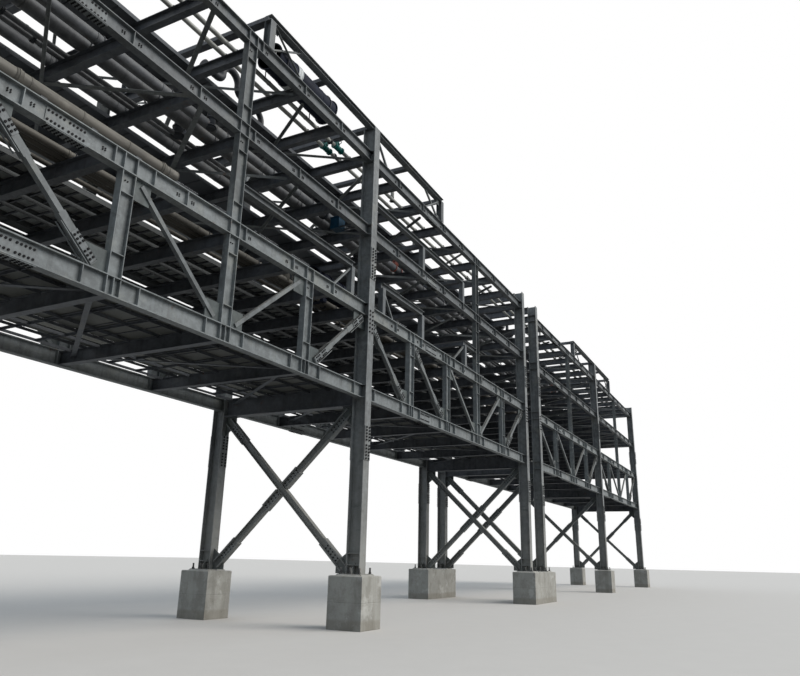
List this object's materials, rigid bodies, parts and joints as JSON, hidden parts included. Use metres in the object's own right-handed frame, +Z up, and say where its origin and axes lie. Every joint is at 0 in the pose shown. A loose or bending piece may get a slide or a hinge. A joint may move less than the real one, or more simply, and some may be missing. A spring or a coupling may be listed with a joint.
{
  "type": "industrial pipe bridge, half-size scale model",
  "caption": "Open steel pipe bridge: paired trusses with tiers of cross beams on braced column bents and concrete plinths, carrying pipes and cable trays.",
  "frame": {"origin": "on the ground, midway between the end bents and midway between the two truss planes", "axes": "+X along the bridge, away from the picture's camera; +Y across it, from the near truss to the far one; +Z up"},
  "size_m": [28.53, 2.88, 7.07],
  "materials": {
    "plinth_concrete": "cast concrete with stains",
    "base_plate_steel": "painted steel plate",
    "foot_rib_steel": "painted steel plate",
    "dusty_lagging": "lagged pipe, dusty beige",
    "tier2_pipe_lagging": "lagged pipes, dusty beige",
    "tier3_pipe_steel": "dark steel pipes",
    "tier4_pipe_lagging": "pale lagged pipes",
    "vent_duct_sheet": "dark sheet duct",
    "tray_galvanised": "galvanised, dull",
    "floor_tray_galvanised": "galvanised, dull and shaded",
    "upper_tray_galvanised": "galvanised, dull",
    "near_columns_paint": "painted grey-blue steel, dusty",
    "far_columns_paint": "painted grey-blue steel, dusty",
    "bent_cross_beams_paint": "painted grey-blue steel, dusty",
    "bent_cross_braces_paint": "painted grey-blue steel, dusty",
    "bent_brace_gussets_paint": "painted grey-blue steel, dusty",
    "near_bottom_chord_paint": "painted grey-blue steel, dusty",
    "near_top_chord_paint": "painted grey-blue steel, dusty",
    "near_tier3_beam_paint": "painted grey-blue steel, dusty",
    "near_tier4_beam_paint": "painted grey-blue steel, dusty",
    "near_posts_paint": "painted grey-blue steel, dusty",
    "near_diagonals_paint": "painted grey-blue steel, dusty",
    "near_gussets_paint": "painted grey-blue steel, dusty",
    "far_bottom_chord_paint": "painted grey-blue steel, dusty",
    "far_top_chord_paint": "painted grey-blue steel, dusty",
    "far_tier3_beam_paint": "painted grey-blue steel, dusty",
    "far_tier4_beam_paint": "painted grey-blue steel, dusty",
    "far_posts_paint": "painted grey-blue steel, dusty",
    "far_diagonals_paint": "painted grey-blue steel, dusty",
    "far_gussets_paint": "painted grey-blue steel, dusty",
    "floor_cross_beams_paint": "painted grey-blue steel, dusty",
    "tier2_cross_beams_paint": "painted grey-blue steel, dusty",
    "tier3_cross_beams_paint": "painted grey-blue steel, dusty",
    "tier4_cross_beams_paint": "painted grey-blue steel, dusty",
    "floor_plan_bracing_paint": "painted grey-blue steel, dusty",
    "tier3_plan_bracing_paint": "painted grey-blue steel, dusty",
    "tier4_plan_bracing_paint": "painted grey-blue steel, dusty",
    "column_head_beams_paint": "painted grey-blue steel, dusty",
    "stub_frame_posts_paint": "painted grey-blue steel, dusty",
    "stub_frame_rails_paint": "painted grey-blue steel, dusty",
    "stub_frame_cross_beams_paint": "painted grey-blue steel, dusty",
    "raised_frame_posts_paint": "painted grey-blue steel, dusty",
    "raised_frame_rails_paint": "painted grey-blue steel, dusty",
    "raised_frame_cross_beams_paint": "painted grey-blue steel, dusty",
    "knee_braces_paint": "painted grey-blue steel, dusty"
  },
  "bodies": {
    "root": {"concrete_plinths": "plinth_concrete", "base_plates": "base_plate_steel", "foot_ribs": "foot_rib_steel", "dusty_service_pipe": "dusty_lagging", "tier2_pipes": "tier2_pipe_lagging", "tier3_pipes": "tier3_pipe_steel", "tier4_pipes": "tier4_pipe_lagging", "vent_duct": "vent_duct_sheet", "tier2_cable_trays": "tray_galvanised", "floor_cable_trays": "floor_tray_galvanised", "upper_cable_trays": "upper_tray_galvanised", "near_columns": "near_columns_paint", "far_columns": "far_columns_paint", "bent_cross_beams": "bent_cross_beams_paint", "bent_cross_braces": "bent_cross_braces_paint", "bent_brace_gussets": "bent_brace_gussets_paint", "near_bottom_chord": "near_bottom_chord_paint", "near_top_chord": "near_top_chord_paint", "near_tier3_beam": "near_tier3_beam_paint", "near_tier4_beam": "near_tier4_beam_paint", "near_posts": "near_posts_paint", "near_diagonals": "near_diagonals_paint", "near_gussets": "near_gussets_paint", "far_bottom_chord": "far_bottom_chord_paint", "far_top_chord": "far_top_chord_paint", "far_tier3_beam": "far_tier3_beam_paint", "far_tier4_beam": "far_tier4_beam_paint", "far_posts": "far_posts_paint", "far_diagonals": "far_diagonals_paint", "far_gussets": "far_gussets_paint", "floor_cross_beams": "floor_cross_beams_paint", "tier2_cross_beams": "tier2_cross_beams_paint", "tier3_cross_beams": "tier3_cross_beams_paint", "tier4_cross_beams": "tier4_cross_beams_paint", "floor_plan_bracing": "floor_plan_bracing_paint", "tier3_plan_bracing": "tier3_plan_bracing_paint", "tier4_plan_bracing": "tier4_plan_bracing_paint", "column_head_beams": "column_head_beams_paint", "stub_frame_posts": "stub_frame_posts_paint", "stub_frame_rails": "stub_frame_rails_paint", "stub_frame_cross_beams": "stub_frame_cross_beams_paint", "raised_frame_posts": "raised_frame_posts_paint", "raised_frame_rails": "raised_frame_rails_paint", "raised_frame_cross_beams": "raised_frame_cross_beams_paint", "knee_braces": "knee_braces_paint"}
  },
  "joints": []
}
